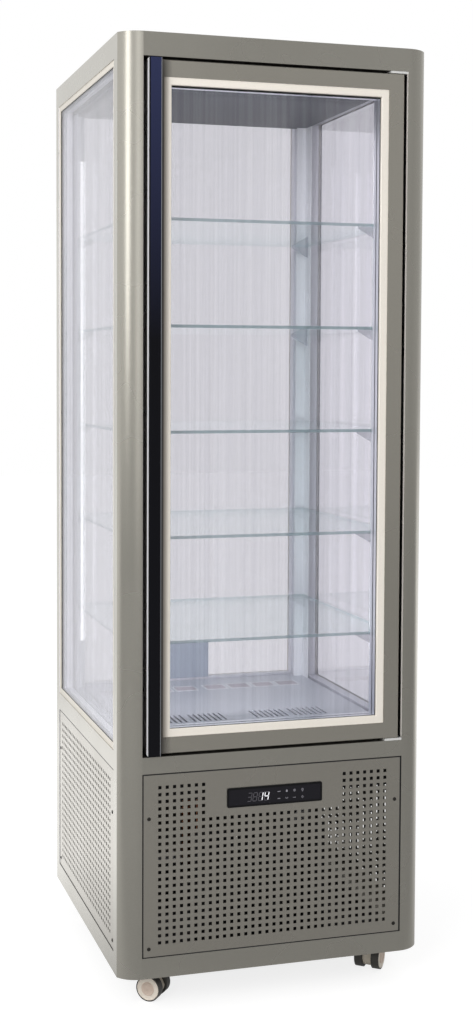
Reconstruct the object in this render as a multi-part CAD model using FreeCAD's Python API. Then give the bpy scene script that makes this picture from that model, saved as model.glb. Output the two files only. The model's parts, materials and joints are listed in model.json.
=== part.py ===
"""Refrigerated display case on casters: glass on four sides, a full-height door, machine space below.

Millimetres. The origin is on the floor under the middle of the outline, +Z is up and the front faces -Y.
"""

import FreeCAD, Part
import math
import os

from FreeCAD import Vector

# Overall sizes
cabinet_w = 620.0
cabinet_d = 632.0
caster_h = 70.0
base_rail_h = 40.0
panel_h = 355.0
mid_rail_h = 32.0
door_gap = 5.0
door_h = 1303.5
top_rail_h = 41.5
cap_t = 3.0
fit = 0.5
run_fit = 0.05
seal_gap = 0.3

# Corner posts and rails
post_front = 44.0
post_side = 51.0
post_curve = 24.0
post_wall = 2.5
rail_d = 40.0
rail_wall = 2.5

# Door
door_side_gap = 8.0
door_t = 44.0
door_face = 32.0
door_lip = 7.0
door_rebate = 19.5
door_edge = 1.5
door_trim_w = 14.5
door_trim_t = 6.5
door_pane_t = 4.0
door_spacer_t = 11.0
door_panes = 3
spacer_w = 10.0
gasket_start = 9.0
gasket_w = 8.5
gasket_waist = 1.5
pivot_in = 8.0
pivot_back = 12.0
pin_r = 4.0
pin_l = 12.0
hinge_play = 0.8
hinge_w = 36.0
hinge_d = 24.0

# Handle, a full-height channel open towards the hinge side
handle_out = 18.0
handle_w = 23.0
handle_wall = 3.0
handle_base = 2.5
handle_rim = 1.2
insert_t = 1.2

# Fixed double glazing on the sides and rear
trim_w = 11.5
trim_recess = 1.5
trim_t = 2.0
trim_bevel = 1.0
pane_t = 5.0
cavity_t = 20.0

# Roof, surround, tub and floor
ceiling_drop = 18.0
surround_t = 15.0
tub_h = 110.0
tub_wall = 22.0
tub_floor = 25.0
flange_t = 4.0
tray_t = 4.0
slot_w = 5.0
slot_l = 65.0
slot_pitch = 11.0
slots_in_group = 7
slot_groups = 2
slot_group_pitch = 85.0
slot_first = 67.5
slot_front = 135.0
vent_w = 48.0
vent_l = 44.0
vent_pitch = 57.5
vent_first = 35.0
vents = 4
vent_rear = 68.0

# Shelves and their supports
shelf_count = 5
shelf_first = 704.0
shelf_pitch = 204.5
shelf_t = 6.0
shelf_gap = 4.0
shelf_corner = 34.0
standard_a = 35.5
standard_b = 24.0
standard_t = 2.5
hook_w = 5.0
hook_h = 26.0
hook_drop = 2.0
bracket_l = 38.0
bracket_h = 24.0
bracket_t = 4.0
bracket_tip = 3.0

# Perforated panels
panel_recess = 1.0
layer_t = 0.6
panel_fold = 12.0
hole = 6.5
hole_pitch_u = 14.45
hole_pitch_z = 13.64
hole_border = 26.0
rear_slots = 5
rear_slot_drop = 48.0
rear_slot_l = 400.0
rear_slot_h = 10.0
rear_slot_pitch = 28.0
inlet_w = 28.0
inlet_h = 24.0
inlet_d = 18.0
inlet_up = 40.0

# Control display
display_w = 195.0
display_h = 38.0
display_z = 337.0
display_r = 3.5
display_proud = 2.0
display_rim = 4.0
display_body_d = 26.0
window_t = 1.5
display_clear_u = 40.0
display_clear_z = 12.0

# Casters
caster_in = 75.0
caster_in_y = 89.0
wheel_r = 25.0
wheel_w = 16.0
hood_w = 18.0
hood_r = 20.0
wheel_gap = 0.6
axle_r = 4.0
trail = 16.0
stem_r = 5.0
stem_l = 24.0
socket_w = 32.0
collar_r = 13.0
caster_turn = {"front_left": 50.0, "front_right": 140.0, "rear_left": 20.0, "rear_right": 165.0}

# Machine space
base_t = 3.0
base_lap = 25.0
coil_w = 260.0
coil_h = 245.0
coil_d = 40.0
coil_front = 61.0
fin_pitch = 17.0
fin_t = 1.5
spine_t = 10.0
header_w = 18.0
fan_r = 98.0
fan_gap = 5.0
fan_hub_r = 24.0
fan_depth = 24.0
fan_clear = 6.0
fan_blades = 5
blade_t = 2.0
blade_pitch = 35.0
blade_root = 0.7
blade_tip = 0.95
ring_t = 2.5
arm_w = 12.0
arm_t = 3.0
motor_l = 46.0
shaft_r = 4.0
shaft_l = 12.0
compressor_r = 75.0
compressor_h = 180.0
compressor_back = 194.0
lid_h = 14.0
foot_w = 190.0
foot_d = 170.0
foot_h = 12.0
runner_w = 18.0
pipe_r = 5.0
pan_w = 170.0
pan_d = 190.0
pan_h = 34.0
pan_wall = 2.0
pan_draft = 6.0
box_w = 56.0
box_d = 160.0
box_h = 115.0
lid_t = 6.0
lid_lap = 2.0
cool_w = 300.0
cool_h = 70.0
cool_d = 60.0
cool_pitch = 26.0
small_fan_r = 36.0
small_hub_r = 14.0
small_depth = 12.0
small_gap = 3.0
small_motor_l = 14.0

# Levels and planes worked out from the sizes
y_mid = handle_out / 2
x_side = cabinet_w / 2
y_front = y_mid - cabinet_d / 2
y_rear = y_mid + cabinet_d / 2
z_base = caster_h
z_panel = z_base + base_rail_h
z_mid = z_panel + panel_h
z_mid_top = z_mid + mid_rail_h
z_door = z_mid_top + door_gap
z_door_top = z_door + door_h
z_head = z_door_top + door_gap
z_cap = z_head + top_rail_h
z_top = z_cap + cap_t
post_r = (post_front ** 2 + post_curve ** 2) / (2 * post_curve)
span_front = x_side - post_front
span_side = cabinet_d / 2 - post_side
unit_d = trim_recess + trim_t + 2 * pane_t + cavity_t
x_inner = x_side - unit_d - fit
y_inner = y_rear - unit_d - fit
z_rim = z_door + flange_t
z_floor = z_rim + tray_t
z_ceiling = z_head - ceiling_drop
z_plate = z_base + rail_wall
z_deck = z_plate + base_t
z_tub = z_door - tub_h
door_half = span_front - door_side_gap
gasket_end = gasket_start + gasket_w
gasket_t = post_side - door_t - seal_gap
x_surround = door_half - gasket_end
y_surround = y_front + post_side
y_room = y_surround + surround_t
pivot_x = door_half - pivot_in
pivot_y = y_front + pivot_back
hinge_t = door_gap - hinge_play
x_shelf = x_inner - standard_t - fit
x_shelf_front = x_surround - standard_t - fit
y_shelf_front = y_room + shelf_gap
y_shelf_rear = y_rear - post_side - standard_t - shelf_gap
coil_y = y_front + coil_front
fan_y = coil_y + coil_d
bore_r = fan_r + fan_gap
compressor_x = coil_w / 2
compressor_y = y_rear - compressor_back


def save(node, *solids):
    """Write one node, a single solid or a group of like solids."""
    shape = solids[0] if len(solids) == 1 else Part.makeCompound(list(solids))
    shape.exportStep(f"parts/{node}.step")


def box(x, y, z):
    """Block between two limits on each axis."""
    corner = Vector(min(x), min(y), min(z))
    return Part.makeBox(abs(x[1] - x[0]), abs(y[1] - y[0]), abs(z[1] - z[0]), corner)


def outline(points):
    """Closed wire through points."""
    return Part.makePolygon(list(points) + [points[0]])


def prism(points, travel, holes=()):
    """Outline, with holes in it, pushed along a vector."""
    wires = [outline(points)] + [outline(h) for h in holes]
    face = Part.Face(wires[0])
    if holes:
        face = Part.Face(wires, "Part::FaceMakerBullseye")
    return face.extrude(travel)


def bar(start, end):
    """Straight bar between two like outlines, closed by flat ends."""
    faces = [Part.Face(outline(start)), Part.Face(outline(end))]
    for i in range(len(start)):
        j = (i + 1) % len(start)
        faces.append(Part.Face(outline([start[i], start[j], end[j], end[i]])))
    solid = Part.Solid(Part.Shell(faces))
    if solid.Volume < 0:
        solid.reverse()
    return solid


def rod(radius, base, axis, length):
    """Round bar."""
    return Part.makeCylinder(radius, length, base, axis)


def turned(points, base, axis):
    """Solid of revolution; points are (radius, distance along the axis)."""
    wire = outline([Vector(r, 0, h) for r, h in points])
    solid = Part.Face(wire).revolve(Vector(0, 0, 0), Vector(0, 0, 1), 360)
    solid.Placement = FreeCAD.Placement(base, FreeCAD.Rotation(Vector(0, 0, 1), axis))
    return solid


def arc_face(arcs):
    """Flat face bounded by arcs, each given as three points, and the lines between them."""
    edges = []
    for k, arc in enumerate(arcs):
        edges.append(Part.Arc(*arc).toShape())
        edges.append(Part.LineSegment(arc[-1], arcs[(k + 1) % len(arcs)][0]).toShape())
    return Part.Face(Part.Wire(edges))


def rounded(half_x, half_y, radius, centre):
    """Flat face, a rectangle with round corners."""
    corners = ((1, 1), (-1, 1), (-1, -1), (1, -1))
    turn = math.sqrt(0.5)
    ends = []
    for k, (sx, sy) in enumerate(corners):
        c = centre + Vector(sx * (half_x - radius), sy * (half_y - radius), 0)
        along_x = c + Vector(sx * radius, 0, 0)
        along_y = c + Vector(0, sy * radius, 0)
        middle = c + Vector(sx * radius * turn, sy * radius * turn, 0)
        first, last = (along_x, along_y) if k % 2 == 0 else (along_y, along_x)
        ends.append((first, middle, last))
    return arc_face(ends)


def on_side(side, u, d, z):
    """Point on one side of the cabinet: u along it, d inwards from its face."""
    if side == "front":
        return Vector(u, y_front + d, z)
    if side == "rear":
        return Vector(-u, y_rear - d, z)
    if side == "left":
        return Vector(d - x_side, y_mid - u, z)
    return Vector(x_side - d, y_mid + u, z)


def span_of(side):
    """Half the clear width between the two posts of a side."""
    return span_front if side in ("front", "rear") else span_side


def slab(side, u, d, z):
    """Block on one side of the cabinet."""
    a = on_side(side, u[0], d[0], z[0])
    b = on_side(side, u[1], d[1], z[1])
    return box((a.x, b.x), (a.y, b.y), (a.z, b.z))


def rect(side, u, z, d):
    """Upright rectangle on one side, as four points."""
    corners = ((u[0], z[0]), (u[1], z[0]), (u[1], z[1]), (u[0], z[1]))
    return [on_side(side, a, d, b) for a, b in corners]


def inward(side, depth):
    """Vector from a side's face into the cabinet."""
    return on_side(side, 0, depth, 0) - on_side(side, 0, 0, 0)


def mitred_frame(side, half, z, section):
    """Four mitred bars; section is (distance in from the edge, depth) points."""
    bars = []
    for k in range(4):
        ends = []
        for m in (k, (k + 1) % 4):
            su = 1 if m in (1, 2) else -1
            low = m in (0, 1)
            ends.append([on_side(side, su * (half - a), d, z[0] + a if low else z[1] - a) for a, d in section])
        bars.append(bar(*ends))
    return bars


def ring(side, half, z, inset, width, d):
    """Flat rectangular frame of one piece."""
    outer = rect(side, (inset - half, half - inset), (z[0] + inset, z[1] - inset), d[0])
    inset += width
    inner = rect(side, (inset - half, half - inset), (z[0] + inset, z[1] - inset), d[0])
    return prism(outer, inward(side, d[1] - d[0]), [inner])


def at_corner(sx, sy, u, v, z):
    """Point near one corner of the cabinet: u in from its side, v in from its front or rear."""
    return Vector(sx * (x_side - u), y_mid + sy * (cabinet_d / 2 - v), z)


def corner_arc(sx, sy, inset, z):
    """Three points of a post's curved face, which runs out into the front and meets the side at an edge."""
    reach = post_r - inset
    points = []
    for u in (post_front - inset, post_front / 2, inset):
        v = post_r - math.sqrt(reach ** 2 - (post_front - u) ** 2)
        points.append(at_corner(sx, sy, u, v, z))
    return points


def corner_post(sx, sy):
    """Hollow extruded post with a curved outer face."""
    def wire(inset):
        arc = corner_arc(sx, sy, inset, z_base)
        far = [at_corner(sx, sy, u, post_side - inset, z_base) for u in (post_front - inset, inset)]
        run = [arc[0], *far, arc[-1]]
        edges = [Part.LineSegment(a, b).toShape() for a, b in zip(run, run[1:])]
        edges.append(Part.Arc(*reversed(arc)).toShape())
        return Part.Wire(edges)

    face = Part.Face([wire(0.0), wire(post_wall)], "Part::FaceMakerBullseye")
    return face.extrude(Vector(0, 0, z_cap - z_base))


def rail(side, z):
    """Channel between two posts, open to the inside."""
    h = z[1] - z[0]
    half = span_of(side)
    w = rail_wall
    section = ((0, 0), (rail_d, 0), (rail_d, w), (w, w), (w, h - w), (rail_d, h - w), (rail_d, h), (0, h))
    points = [on_side(side, -half, d, z[0] + up) for d, up in section]
    return prism(points, on_side(side, half, 0, 0) - on_side(side, -half, 0, 0))


def rails(node, low, front_high, other_high):
    """One level of four rails."""
    made = [rail("front", (low, front_high))]
    made += [rail(side, (low, other_high)) for side in ("rear", "left", "right")]
    save(node, *made)


def notched(half_x, y0, y1, z, travel, front=True):
    """Plate that clears the corner posts."""
    nx = span_front - fit
    rear = y_rear - post_side - fit
    fore = y_front + post_side + fit
    right = [(half_x, rear), (nx, rear), (nx, y1)]
    right = ([(nx, y0), (nx, fore), (half_x, fore)] if front else [(half_x, y0)]) + right
    points = [Vector(x, y, z) for x, y in right]
    points += [Vector(-x, y, z) for x, y in reversed(right)]
    return prism(points, Vector(0, 0, travel))


def frame():
    """Posts, rails and the insulated roof."""
    for fore, sy in (("front", -1), ("rear", 1)):
        for hand, sx in (("left", -1), ("right", 1)):
            save(f"corner_post_{fore}_{hand}", corner_post(sx, sy))
    rails("base_rails", z_base, z_panel, z_panel)
    rails("mid_rails", z_mid, z_mid_top, z_door)
    rails("top_rails", z_head, z_cap, z_cap)
    corners = ((-1, -1, -1), (1, -1, 1), (1, 1, -1), (-1, 1, 1))
    cap = arc_face([corner_arc(sx, sy, 0.0, z_cap)[::way] for sx, sy, way in corners])
    roof = cap.extrude(Vector(0, 0, cap_t))
    core_y = (y_front + rail_d + fit, y_rear - rail_d - fit)
    roof = roof.fuse(notched(x_side - rail_d - fit, *core_y, z_head, top_rail_h))
    board_y = (y_room + fit, y_inner)
    board = notched(x_inner, *board_y, z_ceiling, ceiling_drop, front=False)
    save("roof_panel", roof.fuse(board).removeSplitter())


def floor_slots():
    """Openings in the cabinet floor: slot groups at the front, vents at the rear."""
    cuts = []
    z = (z_rim - fit, z_floor + fit)
    y0 = y_room + slot_front
    y1 = y_inner - vent_rear
    for sign in (-1, 1):
        for k in range(slot_groups * slots_in_group):
            group, place = divmod(k, slots_in_group)
            x = slot_first + group * slot_group_pitch + (place - (slots_in_group - 1) / 2) * slot_pitch
            cuts.append(box((sign * x - slot_w / 2, sign * x + slot_w / 2), (y0, y0 + slot_l), z))
        for k in range(vents):
            x = sign * (vent_first + k * vent_pitch)
            cuts.append(box((x - vent_w / 2, x + vent_w / 2), (y1 - vent_l, y1), z))
    return cuts


def tub_and_floor():
    """Insulated evaporator tub hung on the mid rails, and the floor tray over it."""
    half = x_side - rail_d - fit
    y = (y_surround + surround_t / 2, y_rear - post_side - fit)
    body = box((-half, half), y, (z_tub, z_rim))
    flange = notched(x_inner, y_surround, y_inner, z_door, flange_t, front=False)
    cavity = box((tub_wall - half, half - tub_wall), (y[0] + tub_wall, y[1] - tub_wall), (z_tub + tub_floor, z_rim))
    save("evaporator_tub", body.fuse(flange).cut(cavity).removeSplitter())
    tray = notched(x_inner, y_room + fit, y_inner, z_rim, tray_t, front=False)
    save("floor_tray", tray.cut(floor_slots()))


def glazing():
    """Sealed double panes, their spacers and the pale trims that hold them."""
    spacers = []
    trims = []
    z = (z_door, z_head)
    front_d = trim_recess + trim_t
    for side in ("left", "right", "rear"):
        half = span_of(side)
        edge = half - fit
        pane_z = (z[0] + fit, z[1] - fit)
        panes = []
        for d in (front_d, front_d + pane_t + cavity_t):
            panes.append(slab(side, (-edge, edge), (d, d + pane_t), pane_z))
        save(f"{side}_glass", *panes)
        inner = (front_d + pane_t, front_d + pane_t + cavity_t)
        spacers.append(ring(side, half, z, trim_w - spacer_w, spacer_w, inner))
        w = trim_w
        low = trim_recess
        section = ((0, low), (w - trim_bevel, low), (w, low + trim_bevel), (w, front_d), (0, front_d))
        trims += mitred_frame(side, half, z, section)
    save("glazing_spacers", *spacers)
    save("glazing_trims", *trims)


def door_surround():
    """Frame behind the door that its seal closes on."""
    y = (y_surround, y_room)
    z = (z_rim, z_head)
    bars = [box((s * x_surround, s * x_inner), y, z) for s in (-1, 1)]
    across = (-x_surround, x_surround)
    bars.append(box(across, y, (z_rim, z_door + gasket_end)))
    bars.append(box(across, y, (z_door_top - gasket_end, z_head)))
    save("door_surround", *bars)


def pin_holes():
    """Bores in the door for the two hinge pins."""
    r = pin_r + run_fit
    up = Vector(0, 0, 1)
    low = rod(r, Vector(pivot_x, pivot_y, z_door), up, pin_l + fit)
    high = rod(r, Vector(pivot_x, pivot_y, z_door_top - pin_l - fit), up, pin_l + fit)
    return [low, high]


def door():
    """Mitred door frame, triple pane, pale border, seal and handle."""
    z = (z_door, z_door_top)
    c = door_edge
    section = ((0, c), (c, 0), (door_face, 0), (door_face, door_lip), (door_rebate, door_lip),
               (door_rebate, door_t), (0, door_t))
    bars = mitred_frame("front", door_half, z, section)
    welded = bars[0].fuse(bars[1:]).removeSplitter()
    save("door_frame", welded.cut(pin_holes()))
    glass_d = door_lip + fit
    inset = door_rebate + fit
    edge = door_half - inset
    panes = []
    spacers = []
    for k in range(door_panes):
        d = glass_d + k * (door_pane_t + door_spacer_t)
        panes.append(slab("front", (-edge, edge), (d, d + door_pane_t), (z[0] + inset, z[1] - inset)))
        if k + 1 < door_panes:
            gap = (d + door_pane_t, d + door_pane_t + door_spacer_t)
            start = door_face + door_trim_w - spacer_w
            spacers.append(ring("front", door_half, z, start, spacer_w, gap))
    save("door_glass", *panes)
    save("door_spacers", *spacers)
    a = (door_face, door_face + door_trim_w)
    low = glass_d - door_trim_t
    bevel = ((a[0], low), (a[1] - low, low), (a[1], 2 * low), (a[1], glass_d), (a[0], glass_d))
    save("door_trim", *mitred_frame("front", door_half, z, bevel))
    g = (gasket_start, gasket_end)
    seal = (door_t, door_t + gasket_t / 2, door_t + gasket_t)
    lobes = ((g[0], seal[0]), (g[1], seal[0]), (g[1] - gasket_waist, seal[1]), (g[1], seal[2]),
             (g[0], seal[2]), (g[0] + gasket_waist, seal[1]))
    save("door_gasket", *mitred_frame("front", door_half, z, lobes))
    handle(z)


def handle(z):
    """Full-height pull on the free edge of the door, with a dark glossy insert."""
    out = -handle_out
    w = handle_w
    r = handle_rim
    front = out + handle_wall
    deep = out + insert_t
    section = ((0, 0), (w, 0), (w, -handle_base), (handle_wall, -handle_base), (handle_wall, front), (w, front),
               (w, out), (w - r, out), (w - r, deep), (r, deep), (r, out), (0, out))
    points = [on_side("front", u - door_half, d, z[0] + fit) for u, d in section]
    length = Vector(0, 0, z[1] - z[0] - 2 * fit)
    save("door_handle", prism(points, length))
    strip = [(r, deep), (w - r, deep), (w - r, out), (r, out)]
    save("handle_insert", prism([on_side("front", u - door_half, d, z[0] + fit) for u, d in strip], length))


def hinges():
    """Pivot plates above and below the door, each with its pin."""
    y = (y_front + fit, y_front + hinge_d)
    x = (span_front - hinge_w, span_front)
    made = []
    for seat, way in ((z_mid_top, 1), (z_head, -1)):
        face = seat + way * hinge_t
        pin = rod(pin_r, Vector(pivot_x, pivot_y, face), Vector(0, 0, way), hinge_play + pin_l)
        made.append(box(x, y, (seat, face)).fuse(pin).removeSplitter())
    save("door_hinges", *made)


def standard(x, y, sx, sy, slots):
    """Slotted angle that carries the shelf hooks; its corner is at x, y."""
    t = standard_t
    shape = ((0, 0), (standard_b, 0), (standard_b, t), (t, t), (t, standard_a), (0, standard_a))
    points = [Vector(x + sx * a, y + sy * b, z_floor) for a, b in shape]
    angle = prism(points, Vector(0, 0, z_ceiling - fit - z_floor))
    mid = y + sy * standard_a / 2
    side = (x - sx * t, x + sx * 2 * t)
    cuts = [box(side, (mid - hook_w / 2, mid + hook_w / 2), (z, z + hook_h)) for z in slots]
    return angle.cut(cuts), mid


def bracket(root, sx, y, z):
    """Triangular shelf support hooked into a standard, reaching along sx."""
    back = standard_t - fit
    shape = ((0, 0), (bracket_l, 0), (bracket_l, -bracket_tip), (0, -bracket_h), (-back, -bracket_h),
             (-back, -hook_drop), (0, -hook_drop))
    points = [Vector(root + sx * a, y - bracket_t / 2, z + b) for a, b in shape]
    return prism(points, Vector(0, bracket_t, 0))


def shelves():
    """Glass shelves on hooked brackets, four to a shelf."""
    under = [shelf_first + k * shelf_pitch - shelf_t for k in range(shelf_count)]
    first = under[0] - shelf_pitch / 2 - hook_h
    slots = [first + k * shelf_pitch / 2 for k in range(2 * shelf_count + 1)]
    angles = []
    brackets = []
    for s in (-1, 1):
        front, y_f = standard(s * (x_surround - standard_t), y_room, s, 1, slots)
        rear, y_r = standard(s * x_inner, y_rear - post_side, -s, -1, slots)
        angles += [front, rear]
        for z in under:
            brackets.append(bracket(s * (x_surround - standard_t), -s, y_f, z))
            brackets.append(bracket(s * (x_inner - standard_t), -s, y_r, z))
    save("shelf_standards", *angles)
    save("shelf_brackets", *brackets)
    cut = y_shelf_front + shelf_corner
    half = ((x_shelf_front, y_shelf_front), (x_shelf_front, cut), (x_shelf, cut), (x_shelf, y_shelf_rear))
    for k, z in enumerate(under):
        points = [Vector(x, y, z) for x, y in half]
        points += [Vector(-x, y, z) for x, y in reversed(half)]
        save(f"shelf_{k + 1}", prism(points, Vector(0, 0, shelf_t)))


def rear_panel():
    """Rear panel with long air slots and the block where the power lead would enter."""
    half = span_front - panel_recess
    z = (z_panel, z_mid - panel_recess)
    d = panel_recess
    air = rear_slot_l / 2
    levels = [z_mid - rear_slot_drop - k * rear_slot_pitch for k in range(rear_slots)]
    holes = [rect("rear", (-air, air), (up - rear_slot_h / 2, up + rear_slot_h / 2), d) for up in levels]
    inlet_u = ((air + half - inlet_w) / 2, (air + half + inlet_w) / 2)
    inlet_z = (z_panel + inlet_up, z_panel + inlet_up + inlet_h)
    holes.append(rect("rear", inlet_u, inlet_z, d))
    sheet = prism(rect("rear", (-half, half), z, d), inward("rear", 2 * layer_t), holes)
    fold = ring("rear", half, z, 0.0, 2 * layer_t, (d + 2 * layer_t, d + 2 * layer_t + panel_fold))
    entry = slab("rear", inlet_u, (d, d + inlet_d), inlet_z)
    save("rear_panel", sheet.fuse(fold).removeSplitter(), entry)


def hole_line(half, pitch):
    """Hole middles along a panel, from its centre out to the border that stays whole."""
    count = int((half - hole_border) / pitch)
    return [k * pitch for k in range(-count, count + 1)]


def panel(side, display=False):
    """Perforated panel: rows slotted in its outer half, columns in its inner half.

    Each crossing of a row and a column is one square hole through the sheet.
    """
    half = span_of(side) - panel_recess
    z = (z_panel, z_mid - panel_recess)
    mid_z = (z_panel + z_mid) / 2
    columns = hole_line(half, hole_pitch_u)
    rows = [mid_z + up for up in hole_line(panel_h / 2, hole_pitch_z)]
    h = hole / 2
    mid = z_base + display_z
    outer = [u for u in columns if u > display_w / 2 + display_clear_u]
    lower = [up for up in rows if up < mid - display_h / 2 - display_clear_z]
    row_spans = []
    for zc in rows:
        runs = [(columns[0], columns[-1])]
        if display and zc not in lower:
            runs = [(columns[0], -outer[0]), (outer[0], columns[-1])]
        row_spans += [((a - h, b + h), (zc - h, zc + h)) for a, b in runs]
    column_spans = []
    for uc in columns:
        top = lower[-1] if display and abs(uc) not in outer else rows[-1]
        column_spans.append(((uc - h, uc + h), (rows[0] - h, top + h)))
    if display:
        body = (display_w / 2 - display_rim, display_h / 2 - display_rim)
        window = ((-body[0], body[0]), (mid - body[1], mid + body[1]))
        row_spans.append(window)
        column_spans.append(window)
    layers = []
    for spans, d in ((row_spans, panel_recess), (column_spans, panel_recess + layer_t)):
        holes = [rect(side, u, zz, d) for u, zz in spans]
        layers.append(prism(rect(side, (-half, half), z, d), inward(side, layer_t), holes))
    fold_d = panel_recess + 2 * layer_t
    fold = ring(side, half, z, 0.0, 2 * layer_t, (fold_d, fold_d + panel_fold))
    layers[1] = layers[1].fuse(fold).removeSplitter()
    save(f"{side}_panel", *layers)


def panels():
    """Front, side and rear panels round the machine space."""
    panel("front", display=True)
    panel("left")
    panel("right")
    rear_panel()


def display():
    """Control display: glossy bezel with a body through the panel, and its window."""
    z = z_base + display_z
    face_d = panel_recess - display_proud
    turn = FreeCAD.Rotation(Vector(1, 0, 0), 90)
    flat = rounded(display_w / 2, display_h / 2, display_r, Vector(0, 0, 0))
    bezel = flat.extrude(Vector(0, 0, -display_proud))
    bezel.Placement = FreeCAD.Placement(on_side("front", 0, face_d, z), turn)
    u = display_w / 2 - display_rim
    h = display_h / 2 - display_rim
    body_u = u - fit
    body_h = h - fit
    body = slab("front", (-body_u, body_u), (panel_recess, panel_recess + display_body_d), (z - body_h, z + body_h))
    window = slab("front", (-u, u), (face_d, face_d + window_t), (z - h, z + h))
    save("display_housing", bezel.fuse(body).cut(window).removeSplitter())
    save("display_window", window)


def base():
    """Base plate on the rails, with the four caster sockets."""
    half = x_side - rail_d + base_lap
    y = (y_front + rail_d - base_lap, y_rear - rail_d + base_lap)
    plate = notched(half, *y, z_plate, base_t)
    depth = stem_l + fit
    reach = socket_w / 2
    places = caster_places().values()
    top = z_plate + depth + base_t
    plate = plate.fuse([box((x - reach, x + reach), (cy - reach, cy + reach), (z_plate, top)) for x, cy in places])
    bores = [rod(stem_r + run_fit, Vector(x, cy, z_plate), Vector(0, 0, 1), depth) for x, cy in places]
    save("base_plate", plate.cut(bores).removeSplitter())


def caster_places():
    """Swivel axis of each caster."""
    x = x_side - caster_in
    y = cabinet_d / 2 - caster_in_y
    return {
        "front_left": (-x, y_mid - y),
        "front_right": (x, y_mid - y),
        "rear_left": (-x, y_mid + y),
        "rear_right": (x, y_mid + y),
    }


def caster(name, x, y):
    """Twin-wheel caster: hood with its stem, and a wheel on a stub axle at each side."""
    angle = math.radians(caster_turn[name])
    along = Vector(math.cos(angle), math.sin(angle), 0)
    back = Vector(math.sin(angle), -math.cos(angle), 0)
    up = Vector(0, 0, 1)
    stem = Vector(x, y, 0)
    hub = stem + back * trail + up * wheel_r
    shoulder = z_plate - seal_gap
    flank = stem - along * (hood_w / 2)
    run = [(trail - hood_r, wheel_r), (-collar_r, shoulder), (collar_r, shoulder), (trail + hood_r, wheel_r)]
    run = [flank + back * a + up * b for a, b in run]
    edges = [Part.LineSegment(a, b).toShape() for a, b in zip(run, run[1:])]
    belly = flank + back * trail + up * (wheel_r - hood_r)
    edges.append(Part.Arc(run[-1], belly, run[0]).toShape())
    hood = Part.Face(Part.Wire(edges)).extrude(along * hood_w)
    hood = hood.fuse(rod(stem_r, stem + up * shoulder, up, stem_l))
    hood = hood.cut(rod(axle_r + run_fit, hub - along * (hood_w / 2), along, hood_w))
    save(f"caster_hood_{name}", hood.removeSplitter())
    stub = fit - hood_w / 2 - wheel_gap
    section = ((0, stub), (axle_r, stub), (axle_r, 0), (wheel_r, 0), (wheel_r, wheel_w), (0, wheel_w))
    for tag, way in (("a", 1), ("b", -1)):
        face = hub + along * way * (hood_w / 2 + wheel_gap)
        save(f"caster_wheel_{name}_{tag}", turned(section, face, along * way))


def comb_coil(width, height, depth, pitch, place):
    """Finned core between two upright header blocks; place is its middle at the foot."""
    half = width / 2
    count = int((width - 2 * header_w) // pitch)
    block = header_w / 2
    edge = [(-half - block, header_w / 2), (-half + block, header_w / 2), (-half + block, spine_t / 2)]
    for k in range(count):
        x = (k - (count - 1) / 2) * pitch
        edge += [(x - fin_t / 2, spine_t / 2), (x - fin_t / 2, depth / 2)]
        edge += [(x + fin_t / 2, depth / 2), (x + fin_t / 2, spine_t / 2)]
    edge += [(-x, y) for x, y in reversed(edge[:3])]
    loop = edge + [(x, -y) for x, y in reversed(edge)]
    return prism([place + Vector(x, y, 0) for x, y in loop], Vector(0, 0, height))


def rotor(front, radius, hub_r, depth, gap):
    """Axial fan wheel with its shaft; front is the middle of its front face, air goes +Y."""
    axis = Vector(0, 1, 0)
    wheel = rod(hub_r, front, axis, depth)
    lean = math.tan(math.radians(90 - blade_pitch))
    thick = Vector(blade_t / 2, 0, 0)
    for k in range(fan_blades):
        turn = FreeCAD.Rotation(axis, 360.0 * k / fan_blades)
        ends = []
        for r, share in ((hub_r - blade_t, blade_root), (radius, blade_tip)):
            run = Vector(share / lean, share, 0) * (depth / 2)
            mid = Vector(0, depth / 2, r)
            corners = (mid - run - thick, mid + run - thick, mid + run + thick, mid - run + thick)
            ends.append([front + turn.multVec(p) for p in corners])
        wheel = wheel.fuse(bar(*ends))
    shaft = rod(shaft_r, front + axis * depth, axis, gap + shaft_l - fit)
    return wheel.fuse(shaft).removeSplitter()


def motor_on(mount, back, hub_r, length):
    """Square shaded-pole motor on the rear face of its mount, bored for the shaft."""
    y = back.y + arm_t
    motor = box((back.x - hub_r, back.x + hub_r), (y, y + length), (back.z - hub_r, back.z + hub_r))
    return mount.fuse(motor).cut(rod(shaft_r + run_fit, back, Vector(0, 1, 0), shaft_l)).removeSplitter()


def fan_bracket(back, floor):
    """Upright strip behind a rotor, standing on the floor."""
    half = arm_w / 2
    return box((back.x - half, back.x + half), (back.y, back.y + arm_t), (floor, back.z + half))


def shroud(front):
    """Plate with the fan opening, and the strap behind it that carries the motor."""
    edge = bore_r + arm_w
    x = (front.x - edge, front.x + edge)
    plate = box(x, (front.y, front.y + ring_t), (z_deck, front.z + edge))
    plate = plate.cut(rod(bore_r, front, Vector(0, 1, 0), ring_t))
    reach = bore_r + arm_t
    near = fan_depth + 2 * fan_clear
    far = near + arm_t
    strap = ((-reach, ring_t), (-reach, far), (reach, far), (reach, ring_t), (bore_r, ring_t), (bore_r, near),
             (-bore_r, near), (-bore_r, ring_t))
    foot = front - Vector(0, 0, arm_w / 2)
    return plate.fuse(prism([foot + Vector(x, y, 0) for x, y in strap], Vector(0, 0, arm_w)))


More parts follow.
